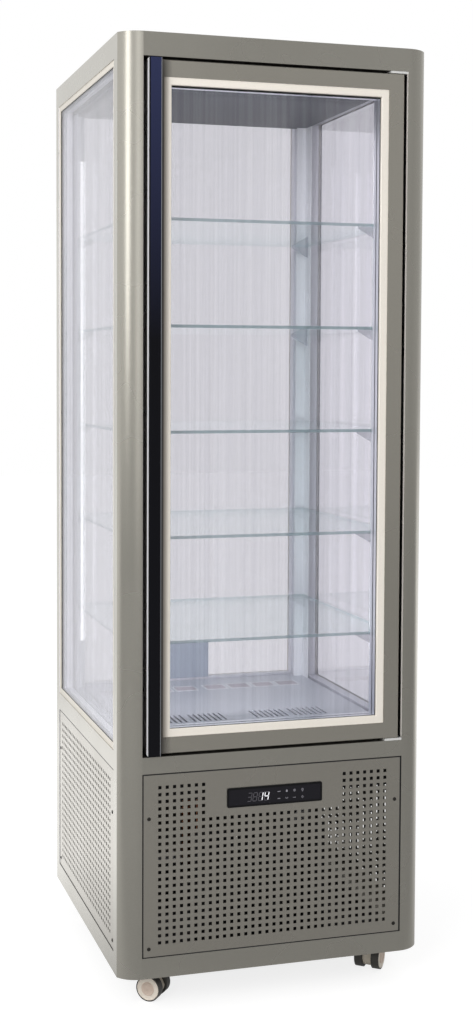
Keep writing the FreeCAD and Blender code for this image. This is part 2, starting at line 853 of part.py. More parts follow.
def compressor(base_z):
    """Hermetic compressor, shell and lid, on its foot plate and rubber runners."""
    foot = Vector(compressor_x, compressor_y, base_z)
    up = Vector(0, 0, 1)
    r, h = compressor_r, compressor_h
    section = ((0, foot_h), (r, foot_h), (r, h - lid_h), (r - lid_h, h - lid_h), (r - lid_h, h), (0, h))
    shell = turned(section, foot, up)
    x = (foot.x - foot_w / 2, foot.x + foot_w / 2)
    y = (foot.y - foot_d / 2, foot.y + foot_d / 2)
    shell = shell.fuse(box(x, y, (base_z + foot_h - base_t, base_z + foot_h)))
    for s in (0, 1):
        edge = x[s] + (1 - 2 * s) * runner_w
        shell = shell.fuse(box((x[s], edge), y, (base_z, base_z + foot_h - base_t)))
    save("compressor", shell.removeSplitter())
    return foot + up * h


def machine():
    """Condensing unit on the base plate and the evaporator in its tub."""
    foot = Vector(0, coil_y + coil_d / 2, z_deck)
    save("condenser", comb_coil(coil_w, coil_h, coil_d, fin_pitch, foot))
    fan_z = z_deck + bore_r + arm_w
    front = Vector(0, fan_y, fan_z)
    inlet = front + Vector(0, fan_clear, 0)
    save("condenser_fan", rotor(inlet, fan_r, fan_hub_r, fan_depth, fan_clear))
    back = inlet + Vector(0, fan_depth + fan_clear, 0)
    save("condenser_shroud", motor_on(shroud(front), back, fan_hub_r, motor_l))
    top = compressor(z_deck)
    bed = z_tub + tub_floor
    place = Vector(0, y_mid, bed)
    save("evaporator", comb_coil(cool_w, cool_h, cool_d, cool_pitch, place))
    middle = Vector(0, place.y + cool_d / 2 + small_gap, bed + small_fan_r + small_gap)
    save("evaporator_fan", rotor(middle, small_fan_r, small_hub_r, small_depth, small_gap))
    back = middle + Vector(0, small_depth + small_gap, 0)
    save("evaporator_fan_mount", motor_on(fan_bracket(back, bed), back, small_hub_r, small_motor_l))
    pipes(foot, top)
    trays()


def pipes(foot, top):
    """Discharge, liquid and suction lines, and the drain."""
    up = Vector(0, 0, 1)
    level = (z_deck + top.z) / 2
    start = Vector(compressor_x, foot.y + header_w / 2, level)
    discharge = rod(pipe_r, start, Vector(0, 1, 0), top.y - compressor_r - start.y)
    outlet = Vector(-coil_w / 2, foot.y, z_deck + coil_h)
    liquid = rod(pipe_r, outlet, up, z_tub - outlet.z)
    suction = rod(pipe_r, top, up, z_tub - top.z)
    mouth = pan_place() + up * pan_h
    drain_l = z_tub - mouth.z
    drain = rod(2 * pipe_r, mouth, up, drain_l).cut(rod(2 * pipe_r - pan_wall, mouth, up, drain_l))
    save("refrigerant_pipes", discharge, liquid, suction, drain)


def pan_place():
    """Middle of the condensate pan."""
    return Vector(compressor_x - foot_w / 2 - pan_w / 2 - 4 * fit, compressor_y, z_deck)


def trays():
    """Condensate pan and the electrical box."""
    spot = pan_place()

    def tapered(inset, low):
        ends = []
        for grow, z in ((0.0, low), (pan_draft, pan_h)):
            hx = pan_w / 2 - pan_draft + grow - inset
            hy = pan_d / 2 - pan_draft + grow - inset
            ends.append([spot + Vector(sx * hx, sy * hy, z) for sx, sy in ((-1, -1), (1, -1), (1, 1), (-1, 1))])
        return bar(*ends)

    save("drain_pan", tapered(0.0, 0.0).cut(tapered(pan_wall, pan_wall)))
    middle = Vector(box_w / 2 - x_side + rail_d + fit, fan_y + box_d / 2 + fan_depth, z_deck)
    sides = [(middle.x - box_w / 2, middle.x + box_w / 2), (middle.y - box_d / 2, middle.y + box_d / 2)]
    case = box(*[(low + lid_lap, high - lid_lap) for low, high in sides], (z_deck, z_deck + box_h - lid_t))
    lid = box(*sides, (z_deck + box_h - lid_t, z_deck + box_h))
    save("control_box", case.fuse(lid).removeSplitter())


os.makedirs("parts", exist_ok=True)
frame()
tub_and_floor()
glazing()
door_surround()
door()
hinges()
shelves()
panels()
display()
base()
for caster_name, caster_place in caster_places().items():
    caster(caster_name, *caster_place)
machine()
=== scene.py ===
"""Looks of the refrigerated display case: camera, studio, materials and the fine pieces round the CAD frame.

Metres, in the frame of the part: the front faces -Y, the floor is at Z = 0.
"""

import json
import math

import bmesh
import bpy
from mathutils import Matrix, Vector


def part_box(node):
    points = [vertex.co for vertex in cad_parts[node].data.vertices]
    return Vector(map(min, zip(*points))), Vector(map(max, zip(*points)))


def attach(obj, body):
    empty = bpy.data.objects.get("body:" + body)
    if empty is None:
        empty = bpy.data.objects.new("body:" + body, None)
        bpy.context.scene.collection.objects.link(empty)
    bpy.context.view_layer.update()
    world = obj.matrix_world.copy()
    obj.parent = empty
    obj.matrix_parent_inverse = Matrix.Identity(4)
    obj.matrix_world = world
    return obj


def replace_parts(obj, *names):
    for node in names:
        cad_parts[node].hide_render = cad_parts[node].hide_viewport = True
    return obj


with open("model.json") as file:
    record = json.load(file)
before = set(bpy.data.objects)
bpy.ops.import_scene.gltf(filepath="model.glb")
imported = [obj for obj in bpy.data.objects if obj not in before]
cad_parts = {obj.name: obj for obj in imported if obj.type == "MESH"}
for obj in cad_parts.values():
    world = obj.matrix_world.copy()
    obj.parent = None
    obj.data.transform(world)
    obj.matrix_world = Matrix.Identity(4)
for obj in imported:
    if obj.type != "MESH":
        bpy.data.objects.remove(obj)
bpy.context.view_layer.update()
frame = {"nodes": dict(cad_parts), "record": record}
scene = bpy.context.scene
MM = 0.001


# Camera

CAMERA_AT = (-0.9549, -2.9739, 1.2283)
YAW, PITCH, ROLL = (math.radians(a) for a in (15.826, -2.813, 0.161))
IMAGE_W, IMAGE_H = 473, 1024
FOCAL_PX = 1474.3
CENTRE_PX = (177.4, 443.3)
SENSOR = 24.0


def add_camera():
    """Camera of the photograph: place, turn, focal length and the crop's shift."""
    ahead = Vector((math.sin(YAW) * math.cos(PITCH), math.cos(YAW) * math.cos(PITCH), math.sin(PITCH)))
    level = Vector((math.cos(YAW), -math.sin(YAW), 0.0))
    over = level.cross(ahead)
    right = level * math.cos(ROLL) + over * math.sin(ROLL)
    up = over * math.cos(ROLL) - level * math.sin(ROLL)
    lens = bpy.data.cameras.new("camera")
    lens.sensor_fit = "VERTICAL"
    lens.sensor_height = SENSOR
    lens.lens = FOCAL_PX / IMAGE_H * SENSOR
    lens.shift_x = (IMAGE_W / 2 - CENTRE_PX[0]) / IMAGE_H
    lens.shift_y = (CENTRE_PX[1] - IMAGE_H / 2) / IMAGE_H
    camera = bpy.data.objects.new("camera", lens)
    turn = Matrix((right, up, -ahead)).transposed().to_4x4()
    camera.matrix_world = Matrix.Translation(CAMERA_AT) @ turn
    scene.collection.objects.link(camera)
    scene.camera = camera


# Materials


def srgb(red, green, blue):
    """Linear colour of a screen colour given from 0 to 255."""
    parts = [c / 255 for c in (red, green, blue)]
    return [c / 12.92 if c <= 0.04045 else ((c + 0.055) / 1.055) ** 2.4 for c in parts]


class Look:
    """A node material under construction."""

    def __init__(self, name):
        self.material = bpy.data.materials.new(name)
        self.material.use_nodes = True
        self.nodes = self.material.node_tree.nodes
        self.shader = self.nodes["Principled BSDF"]
        self.surface = self.shader.outputs["BSDF"]

    def link(self, source, target):
        self.material.node_tree.links.new(source, target)

    def join(self, source, target):
        """Link a socket, or set a plain value."""
        if isinstance(source, bpy.types.NodeSocket):
            self.link(source, target)
        else:
            target.default_value = source

    def math(self, operation, first, second=0.0):
        """Number worked out from a socket and a second socket or plain number."""
        step = self.nodes.new("ShaderNodeMath")
        step.operation = operation
        self.link(first, step.inputs[0])
        self.join(second, step.inputs[1])
        return step.outputs["Value"]

    def noise(self, scale, detail=2.0, stretch=(1, 1, 1)):
        """Noise over the object's own coordinates, drawn out by small numbers in stretch."""
        where = self.nodes.new("ShaderNodeTexCoord")
        placed = self.nodes.new("ShaderNodeMapping")
        placed.inputs["Scale"].default_value = stretch
        pattern = self.nodes.new("ShaderNodeTexNoise")
        pattern.inputs["Scale"].default_value = scale
        pattern.inputs["Detail"].default_value = detail
        self.link(where.outputs["Object"], placed.inputs["Vector"])
        self.link(placed.outputs["Vector"], pattern.inputs["Vector"])
        return pattern.outputs["Fac"]

    def shades(self, source, dark, light, low=0.3, high=0.7):
        """Colour that runs from dark to light with a number."""
        ramp = self.nodes.new("ShaderNodeValToRGB")
        for element, place, colour in zip(ramp.color_ramp.elements, (low, high), (dark, light)):
            element.position = place
            element.color = (*colour, 1.0)
        self.link(source, ramp.inputs["Fac"])
        return ramp.outputs["Color"]

    def spread(self, source, low, high, start=0.3, end=0.7):
        """Number that runs from low to high with another."""
        reach = self.nodes.new("ShaderNodeMapRange")
        for socket, value in (("From Min", start), ("From Max", end), ("To Min", low), ("To Max", high)):
            reach.inputs[socket].default_value = value
        self.link(source, reach.inputs["Value"])
        return reach.outputs["Result"]

    def vector(self, operation, first, second):
        """Vector or number worked out from a socket and a second socket or plain numbers."""
        step = self.nodes.new("ShaderNodeVectorMath")
        step.operation = operation
        self.link(first, step.inputs[0])
        self.join(second, step.inputs[1])
        return step.outputs["Value" if operation == "DOT_PRODUCT" else "Vector"]

    def own(self, kind):
        """The object's own coordinates: Object for place, Normal for direction."""
        return self.nodes.new("ShaderNodeTexCoord").outputs[kind]

    def past(self, kind, direction, start, end):
        """Mask that goes from 0 to 1 as place or normal goes from start to end along a direction."""
        return self.spread(self.vector("DOT_PRODUCT", self.own(kind), direction), 0.0, 1.0, start, end)

    def faces(self, direction):
        """Mask of the faces that look along a direction."""
        return self.past("Normal", direction, 0.4, 0.6)

    def both(self, first, second):
        """Mask where two masks meet."""
        return self.math("MULTIPLY", first, second)

    def over(self, top, share):
        """Lay another shader over the surface by a share from 0 to 1."""
        mix = self.nodes.new("ShaderNodeMixShader")
        self.link(share, mix.inputs["Fac"])
        self.link(self.surface, mix.inputs[1])
        self.link(top, mix.inputs[2])
        self.surface = mix.outputs["Shader"]
        self.link(self.surface, self.nodes["Material Output"].inputs["Surface"])

    def skin(self, colour, share, rough=0.45, metal=0.0):
        """Second plain finish with a fine grain, where the mask says."""
        finish = self.nodes.new("ShaderNodeBsdfPrincipled")
        grain = self.shades(self.noise(700.0), [c * 0.96 for c in colour], colour)
        self.link(grain, finish.inputs["Base Color"])
        finish.inputs["Roughness"].default_value = rough
        finish.inputs["Metallic"].default_value = metal
        self.over(finish.outputs["BSDF"], share)

    def relief(self, source, strength, depth):
        """Fine surface relief."""
        bump = self.nodes.new("ShaderNodeBump")
        bump.inputs["Strength"].default_value = strength
        bump.inputs["Distance"].default_value = depth
        self.link(source, bump.inputs["Height"])
        self.link(bump.outputs["Normal"], self.shader.inputs["Normal"])


def coat(look, colour, vary, rough, metal, grain, relief, stretch=(1, 1, 1), shine=0.5):
    """Opaque finish whose colour and gloss drift a little, with a fine grain."""
    fine = look.noise(grain, 3.0, stretch)
    broad = look.noise(5.0, 2.0)
    dark, light = ([c * k for c in colour] for k in (1 - vary, 1 + vary))
    look.link(look.shades(fine, dark, light), look.shader.inputs["Base Color"])
    look.link(look.spread(broad, *rough, 0.1, 0.9), look.shader.inputs["Roughness"])
    look.shader.inputs["Metallic"].default_value = metal
    look.shader.inputs["Specular IOR Level"].default_value = shine
    look.relief(fine, relief, 0.1 * MM)
    return look


def solid(name, colour, vary, rough, metal, grain, relief, shine=0.5):
    """Material of one opaque finish."""
    return coat(Look(name), colour, vary, rough, metal, grain, relief, shine=shine).material


def inward(look):
    """Mask of the upright walls that face the middle of the cabinet."""
    low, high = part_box("mid_rails")
    out = look.vector("SUBTRACT", look.own("Object"), (low + high) / 2)
    level = look.vector("MULTIPLY", out, (1, 1, 0))
    turned = look.vector("DOT_PRODUCT", level, look.own("Normal"))
    return look.spread(turned, 1.0, 0.0, -0.06, -0.04)


def frame_paint():
    """Metallic paint; pale towards the room. Beside the door the walls are black as painted shade, with a
    pale front lip of painted highlight, and the ledges over and under the door are dark as painted shade.
    """
    look = coat(Look("frame_paint"), PAINT, *METALLIC)
    sill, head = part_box("door_surround")
    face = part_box("corner_post_front_left")[0].y
    look.skin(srgb(242, 242, 247), inward(look))
    fore = look.past("Object", (0, -1, 0), -head.y, MM - head.y)
    # Painted shade: the walls beside the door, in the gap, are black
    look.skin(srgb(12, 12, 13), look.both(inward(look), fore), 0.6)
    # Painted highlight: a pale lip along the front edge of the walls beside the doorway
    lip = look.past("Object", (0, -1, 0), -face - HIGHLIGHT_LIP, 0.2 * MM - face - HIGHLIGHT_LIP)
    over_sill = look.past("Object", (0, 0, 1), sill.z - HIGHLIGHT_LIP, sill.z)
    under_head = look.past("Object", (0, 0, -1), -head.z - HIGHLIGHT_LIP, -head.z)
    doorway = look.both(over_sill, under_head)
    look.skin(srgb(238, 232, 226), look.both(look.both(inward(look), lip), doorway), 0.5)
    # Painted shade: the ledges over and under the door, in the gaps, are dark
    for up in (-1, 1):
        shaded_ledge = look.both(look.faces((0, 0, up)), look.both(fore, doorway))
        look.skin(srgb(46, 42, 38), shaded_ledge, 0.6)
    return look.material


def pull_shadow(look, reach):
    """Mask of the painted shadow of the pull: the front faces along its foot, fading over a reach towards the
    pane.
    """
    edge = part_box("door_trim")[0].x
    near = look.past("Object", (-1, 0, 0), -edge - reach, 3 * MM - edge)
    return look.both(near, look.faces((0, -1, 0)))


def door_paint():
    """Metallic paint, with a painted shadow of the pull as a dark strip along its foot."""
    look = coat(Look("door_paint"), srgb(176, 172, 162), *METALLIC)
    # Painted shadow of the pull on the door frame
    look.skin(srgb(72, 68, 64), pull_shadow(look, 16 * MM), 0.6)
    return look.material


def door_cream_painted_light_and_shadow():
    """Cream trim of the door, a lighter copy of the side trims' cream as painted light, and browner along the
    pull as a painted shadow.
    """
    # Painted light: the cream is lighter than the side trims' cream, for the door's front faces
    look = coat(Look("door_cream_painted_light_and_shadow"), srgb(250, 243, 232), 0.02, (0.35, 0.5), 0.0, 400.0, 0.05)
    # Painted shadow of the pull along the trim's edge
    look.skin(srgb(112, 101, 90), pull_shadow(look, 11 * MM), 0.5)
    return look.material


def roof_paint():
    """The same paint on top of the roof, and the blue-grey ceiling under it."""
    look = coat(Look("roof_paint"), PAINT, *METALLIC)
    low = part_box("roof_panel")[0].z
    under = look.past("Object", (0, 0, -1), -low - CEILING, MM - low - CEILING)
    look.skin(srgb(58, 62, 73), under, 0.5)
    return look.material


def handle_metal():
    """Dark lacquered pull with a bare bright flank at the free side and a steel line on the other edge."""
    look = coat(Look("handle_metal"), srgb(16, 17, 22), 0.1, (0.5, 0.6), 0.0, 300.0, 0.02, BRUSH, 0.05)
    low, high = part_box("door_handle")
    back = look.past("Object", (0, 1, 0), low.y + BARE, low.y + BARE + 0.4 * MM)
    look.skin(srgb(238, 238, 241), look.both(look.faces((-1, 0, 0)), back), 0.5)
    rim = look.past("Object", (1, 0, 0), high.x - RIM, high.x - 0.9 * RIM)
    look.skin(srgb(150, 152, 158), look.both(look.faces((0, -1, 0)), rim), 0.3, 0.6)
    return look.material


def handle_black():
    """Glossy strip, navy towards the top and black below; the change from navy to black is a painted
    reflection.
    """
    look = coat(Look("handle_black"), srgb(13, 13, 18), 0.1, (0.1, 0.16), 0.0, 200.0, 0.0, shine=0.15)
    low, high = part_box("handle_insert")
    # Painted reflection: navy over the upper part of the strip, fading to black below
    navy_reflection = look.past("Object", (0, 0, 1), low.z + 0.6 * (high.z - low.z), high.z)
    look.skin(srgb(36, 43, 80), navy_reflection, 0.14)
    return look.material


def milky(name, colour, share):
    """Cloudy clear plastic, denser where it is seen edge on."""
    look = coat(Look(name), colour, 0.04, (0.2, 0.3), 0.0, 300.0, 0.04)
    clear = look.nodes.new("ShaderNodeBsdfTransparent")
    facing = look.nodes.new("ShaderNodeLayerWeight")
    facing.inputs["Blend"].default_value = 0.4
    look.over(clear.outputs["BSDF"], look.spread(facing.outputs["Facing"], 1 - share, 0.1, 0.2, 1.0))
    return look.material


def glass(name, dark, light, glint, edge=None, fine=(40.0, 160.0), coated=False):
    """Clear pane: tinted in faint upright streaks, reflecting more the flatter it is seen.

    The tint runs from dark to light and the reflection through the glint pair; fine gives the scales of
    the streaks. With an edge colour, the narrow sides are ground and take it. A coated pane reflects more
    towards the room than outside.
    """
    look = Look(name)
    broad = look.noise(fine[0], 2.0, (1.0, 1.0, 0.01))
    streaks = look.math("ADD", broad, look.noise(fine[1], 1.0, (1.0, 1.0, 0.003)))
    clear = look.nodes.new("ShaderNodeBsdfTransparent")
    drawn = look.spread(streaks, 0.0, 1.0, 0.8, 1.2)
    look.link(look.shades(drawn, dark, light, 0.0, 1.0), clear.inputs["Color"])
    bright = drawn
    if coated:
        inside = look.spread(inward(look), 0.0, 0.7, 0.0, 1.0)
        bright = look.math("ADD", look.spread(drawn, 0.0, 0.3, 0.0, 1.0), inside)
    look.link(look.shades(bright, *glint, 0.0, 1.0), look.shader.inputs["Base Color"])
    look.shader.inputs["Metallic"].default_value = 1.0
    look.link(look.spread(look.noise(3.0), 0.01, 0.03), look.shader.inputs["Roughness"])
    facing = look.nodes.new("ShaderNodeLayerWeight")
    facing.inputs["Blend"].default_value = 0.5
    slant = look.math("POWER", facing.outputs["Facing"], 5.0)
    look.over(clear.outputs["BSDF"], look.spread(slant, 0.96, 0.0, 0.0, 1.0))
    if edge:
        level = look.math("ABSOLUTE", look.vector("DOT_PRODUCT", look.own("Normal"), (0, 0, 1)))
        look.skin(edge, look.spread(level, 0.6, 0.0, 0.3, 0.7), 0.25)
    return look.material


def glow(name, colour, strength):
    """Lit mark behind the display's window, a little uneven."""
    look = Look(name)
    fine = look.noise(900.0)
    dark = [c * 0.85 for c in colour]
    look.link(look.shades(fine, dark, colour), look.shader.inputs["Emission Color"])
    look.link(look.shades(fine, dark, colour), look.shader.inputs["Base Color"])
    look.shader.inputs["Emission Strength"].default_value = strength
    look.shader.inputs["Roughness"].default_value = 0.4
    return look.material


PAINT = srgb(172, 169, 160)
METALLIC = (0.025, (0.22, 0.32), 0.9, 400.0, 0.01)
# Colours of the reflections on the panes, from the dark streaks to the light ones
GLINT = ((0.2, 0.2, 0.23), (1.0, 1.0, 1.0))
SIDE_GLINT = ((0.55, 0.55, 0.57), (0.96, 0.96, 0.98))
SHELF_GLINT = ((0.94, 0.95, 0.95), (1.0, 1.0, 1.0))
# Where finishes change: the doorway's pale lip of painted highlight, the ceiling's rim, the pull's bare flank
# and steel line
HIGHLIGHT_LIP = 6.5 * MM
CEILING = 19.0 * MM
BARE = 6.0 * MM
RIM = 2.0 * MM
BRUSH = (1.0, 1.0, 0.02)
LOOKS = {
    "frame_paint": frame_paint(),
    "roof_paint": roof_paint(),
    "panel_paint": solid("panel_paint", srgb(168, 164, 155), *METALLIC),
    "door_paint": door_paint(),
    "cream_trim": solid("cream_trim", srgb(236, 229, 217), 0.02, (0.35, 0.5), 0.0, 400.0, 0.05),
    "door_cream_painted_light_and_shadow": door_cream_painted_light_and_shadow(),
    "clear_glass": glass(
        "clear_glass", (0.979, 0.9777, 0.9857), (0.984, 0.9828, 0.9888), GLINT, fine=(100.0, 240.0)
    ),
    "side_glass": glass("side_glass", (0.959, 0.956, 0.97), (0.971, 0.968, 0.978), SIDE_GLINT, coated=True),
    "shelf_glass": glass(
        "shelf_glass", (0.93, 0.966, 0.96), (0.945, 0.978, 0.972), SHELF_GLINT, edge=srgb(158, 186, 190)
    ),
    "spacer_metal": solid("spacer_metal", srgb(232, 233, 240), 0.03, (0.25, 0.35), 1.0, 500.0, 0.03),
    "glazing_spacer": solid("glazing_spacer", srgb(240, 240, 246), 0.03, (0.35, 0.45), 0.1, 500.0, 0.03),
    "clear_plastic": milky("clear_plastic", srgb(190, 192, 204), 0.28),
    # Black of the door bead and the pane lines, also used for painted shade lines in gaps
    "black_bead_and_shade": solid("black_bead_and_shade", srgb(24, 24, 26), 0.1, (0.5, 0.65), 0.0, 800.0, 0.15),
    "liner": solid("liner", srgb(214, 214, 224), 0.03, (0.35, 0.45), 0.1, 500.0, 0.06),
    "vent_slat": solid("vent_slat", srgb(206, 198, 207), 0.04, (0.4, 0.5), 0.0, 500.0, 0.06),
    "support_paint": solid("support_paint", srgb(244, 244, 248), 0.03, (0.35, 0.45), 0.1, 500.0, 0.06),
    "seal": solid("seal", srgb(186, 186, 186), 0.05, (0.6, 0.75), 0.0, 800.0, 0.15),
    "handle_metal": handle_metal(),
    "handle_black": handle_black(),
    "hinge_metal": solid("hinge_metal", srgb(232, 232, 230), 0.03, (0.3, 0.4), 0.2, 500.0, 0.05),
    "display_black": solid("display_black", srgb(14, 14, 16), 0.08, (0.25, 0.3), 0.0, 600.0, 0.02, shine=0.2),
    "display_glass": solid("display_glass", srgb(30, 29, 34), 0.08, (0.2, 0.25), 0.0, 600.0, 0.01, shine=0.2),
    "plated_steel": solid("plated_steel", srgb(168, 168, 166), 0.1, (0.3, 0.45), 0.9, 120.0, 0.1),
    "coil_metal": solid("coil_metal", srgb(52, 52, 54), 0.1, (0.4, 0.55), 0.6, 300.0, 0.15),
    # Dark grey of the tub and the base plate, partly painted shade of the machine space seen through the
    # holes
    "dark_shell_and_machine_shade": solid("dark_shell_and_machine_shade", srgb(58, 58, 60), 0.08, (0.5, 0.6), 0.1, 400.0, 0.1),
    "compressor_paint": solid("compressor_paint", srgb(30, 30, 31), 0.1, (0.3, 0.45), 0.0, 300.0, 0.1),
    "copper": solid("copper", srgb(178, 110, 76), 0.1, (0.25, 0.4), 1.0, 200.0, 0.08),
    "dark_plastic": solid("dark_plastic", srgb(32, 32, 33), 0.1, (0.45, 0.6), 0.0, 900.0, 0.2),
    "box_plastic": solid("box_plastic", srgb(150, 150, 150), 0.05, (0.45, 0.6), 0.0, 900.0, 0.2),
    "caster_plastic": solid("caster_plastic", srgb(222, 212, 195), 0.05, (0.4, 0.55), 0.0, 900.0, 0.15),
    "wheel_plastic": solid("wheel_plastic", srgb(62, 60, 56), 0.08, (0.45, 0.6), 0.0, 900.0, 0.2),
    "hub_cap": solid("hub_cap", srgb(248, 238, 224), 0.03, (0.35, 0.5), 0.0, 700.0, 0.1),
    "hub_boss": solid("hub_boss", srgb(224, 204, 188), 0.04, (0.35, 0.5), 0.0, 700.0, 0.1),
    "screw_black": solid("screw_black", srgb(52, 50, 47), 0.1, (0.3, 0.4), 0.6, 900.0, 0.1),
    "bare_plate": solid("bare_plate", srgb(178, 185, 198), 0.04, (0.3, 0.4), 0.2, 500.0, 0.05),
    "digit_lit": glow("digit_lit", srgb(236, 236, 240), 0.8),
    "digit_dim": glow("digit_dim", srgb(86, 84, 90), 0.05),
    "symbol_dim": glow("symbol_dim", srgb(150, 148, 156), 0.25),
}


# Nodes whose look isn't that of their slot
OWN_LOOK = {
    "roof_panel": "roof_paint",
    # The tub and the base plate take a dark grey that is partly painted shade of the machine space
    "evaporator_tub": "dark_shell_and_machine_shade",
    "base_plate": "dark_shell_and_machine_shade",
    "shelf_brackets": "clear_plastic",
    "left_glass": "side_glass",
    "right_glass": "side_glass",
    "glazing_spacers": "glazing_spacer",
    "door_trim": "door_cream_painted_light_and_shadow",
    **{f"shelf_{k}": "shelf_glass" for k in range(1, 6)},
}


def dress_frame():
    """Give each CAD node the look of its slot, or its own look where it has one."""
    for part in frame["record"]["subparts"]:
        slot = part["material_slot"]
        for place in frame["nodes"][part["node"]].material_slots:
            place.material = LOOKS[OWN_LOOK.get(part["node"], slot)]


# Fine pieces


def add_piece(name, mesh, look, body, smooth=False):
    """Mesh piece that rides on a CAD body."""
    bmesh.ops.recalc_face_normals(mesh, faces=mesh.faces)
    data = bpy.data.meshes.new(name)
    mesh.to_mesh(data)
    mesh.free()
    data.materials.append(LOOKS[look])
    if smooth:
        data.shade_smooth()
        data.set_sharp_from_angle(angle=math.radians(35))
    piece = bpy.data.objects.new(name, data)
    scene.collection.objects.link(piece)
    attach(piece, body)
    return piece


class Side:
    """One side of the cabinet: u runs along it, d goes in from the face of its panel."""

    def __init__(self, node, along, inward):
        low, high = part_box(node)
        self.node = node
        self.along, self.inward = Vector(along), Vector(inward)
        middle = (low + high) / 2
        half = (high - low) / 2
        self.half = abs(half.dot(self.along))
        self.face = middle - self.inward * abs(half.dot(self.inward))
        self.face.z = 0.0
        self.low, self.high = low.z, high.z

    def at(self, u, d, z):
        """Point at u along, d inward and z up."""
        return self.face + self.along * u + self.inward * d + Vector((0, 0, z))


FRONT = Side("front_panel", (1, 0, 0), (0, 1, 0))
LEFT = Side("left_panel", (0, -1, 0), (1, 0, 0))
RIGHT = Side("right_panel", (0, 1, 0), (-1, 0, 0))
REAR = Side("rear_panel", (-1, 0, 0), (0, -1, 0))

HOLE = 6.5 * MM
PITCH_U = 14.45 * MM
PITCH_Z = 13.64 * MM
COLUMNS_EACH_WAY = 16
ROWS_EACH_WAY = 11
SHEET_T = 1.2 * MM
FOLD = 12.0 * MM
DISPLAY_CLEAR_U = 137.5 * MM
DISPLAY_CLEAR_Z = 376.0 * MM


def slab(mesh, side, u, d, z):
    """Closed box between two limits along, into and up a side."""
    corners = [mesh.verts.new(side.at(a, b, c)) for c in z for b in d for a in u]
    for loop in ((0, 1, 3, 2), (4, 6, 7, 5), (0, 4, 5, 1), (1, 5, 7, 3), (3, 7, 6, 2), (2, 6, 4, 0)):
        mesh.faces.new([corners[k] for k in loop])


def punched_panel(side, window=None):
    """Sheet with a grid of square holes, and a cut-out for the display, with folded edges."""
    middle = (side.low + side.high + MM) / 2
    columns = [k * PITCH_U for k in range(-COLUMNS_EACH_WAY, COLUMNS_EACH_WAY + 1)]
    rows = [middle + k * PITCH_Z for k in range(-ROWS_EACH_WAY, ROWS_EACH_WAY + 1)]
    us = [-side.half, side.half] + [c + s * HOLE / 2 for c in columns for s in (-1, 1)]
    zs = [side.low, side.high] + [c + s * HOLE / 2 for c in rows for s in (-1, 1)]
    if window:
        us += window[0]
        zs += window[1]
    us.sort()
    zs.sort()

    def open_at(u, z):
        if window and window[0][0] < u < window[0][1] and window[1][0] < z < window[1][1]:
            return True
        if window and abs(u) < DISPLAY_CLEAR_U and z > DISPLAY_CLEAR_Z:
            return False
        return min(abs(u - c) for c in columns) < HOLE / 2 and min(abs(z - c) for c in rows) < HOLE / 2

    wide, tall = len(us) - 1, len(zs) - 1
    shut = [
        [not open_at((us[i] + us[i + 1]) / 2, (zs[j] + zs[j + 1]) / 2) for j in range(tall)]
        for i in range(wide)
    ]
    mesh = bmesh.new()
    made = {}

    def vert(i, j, back):
        if (i, j, back) not in made:
            made[i, j, back] = mesh.verts.new(side.at(us[i], back * SHEET_T, zs[j]))
        return made[i, j, back]

    def filled(i, j):
        return 0 <= i < wide and 0 <= j < tall and shut[i][j]

    for i in range(wide):
        for j in range(tall):
            if not shut[i][j]:
                continue
            corners = [(i, j), (i + 1, j), (i + 1, j + 1), (i, j + 1)]
            for back in (0, 1):
                mesh.faces.new([vert(a, b, back) for a, b in corners])
            around = ((i, j - 1), (i + 1, j), (i, j + 1), (i - 1, j))
            for k, (a, b) in enumerate(around):
                if not filled(a, b):
                    start, end = corners[k], corners[(k + 1) % 4]
                    mesh.faces.new([vert(*start, 0), vert(*end, 0), vert(*end, 1), vert(*start, 1)])
    deep = (SHEET_T, SHEET_T + FOLD)
    lip = SHEET_T
    for s in (-1, 1):
        slab(mesh, side, sorted((s * side.half, s * (side.half - lip))), deep, (side.low, side.high))
    inner = (-side.half + lip, side.half - lip)
    slab(mesh, side, inner, deep, (side.low, side.low + lip))
    slab(mesh, side, inner, deep, (side.high - lip, side.high))
    name = f"punched_{side.node}"
    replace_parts(add_piece(name, mesh, "panel_paint", "cabinet"), side.node)


def in_metres(profile):
    """Turned profile from radius and height pairs in millimetres."""
    return [(r * MM, h * MM) for r, h in profile]


def lathe(mesh, profile, base, axis, steps):
    """Closed turned shape: profile of radius and height pairs, from the axis out and back."""
    axis = Vector(axis).normalized()
    across = axis.orthogonal().normalized()
    third = axis.cross(across)
    turns = [2 * math.pi * k / steps for k in range(steps)]
    spokes = [across * math.cos(t) + third * math.sin(t) for t in turns]
    rings = []
    for radius, height in profile:
        spot = Vector(base) + axis * height
        if radius == 0:
            rings.append([mesh.verts.new(spot)])
            continue
        rings.append([mesh.verts.new(spot + spoke * radius) for spoke in spokes])
    for one, two in zip(rings, rings[1:]):
        for k in range(steps):
            n = (k + 1) % steps
            if len(one) == 1:
                mesh.faces.new([one[0], two[k], two[n]])
            elif len(two) == 1:
                mesh.faces.new([one[k], two[0], one[n]])
            else:
                mesh.faces.new([one[k], two[k], two[n], one[n]])


SCREW = in_metres(((0, 0.3), (1.5, 0.3), (1.7, 0.98), (2.9, 0.94), (3.6, 0.65), (3.8, 0), (0, 0)))
SCREW_STEPS = 20
SCREW_IN = 12.5 * MM
SCREW_LOW = 17.0 * MM
SCREW_HIGH = 85.5 * MM


def screws():
    """Socket screws at the four corners of each panel."""
    mesh = bmesh.new()
    for side in (FRONT, LEFT, RIGHT, REAR):
        for u in (-side.half + SCREW_IN, side.half - SCREW_IN):
            for z in (side.low + SCREW_LOW, side.high - SCREW_HIGH):
                lathe(mesh, SCREW, side.at(u, 0, z), -side.inward, SCREW_STEPS)
    add_piece("panel_screws", mesh, "screw_black", "cabinet", smooth=True)


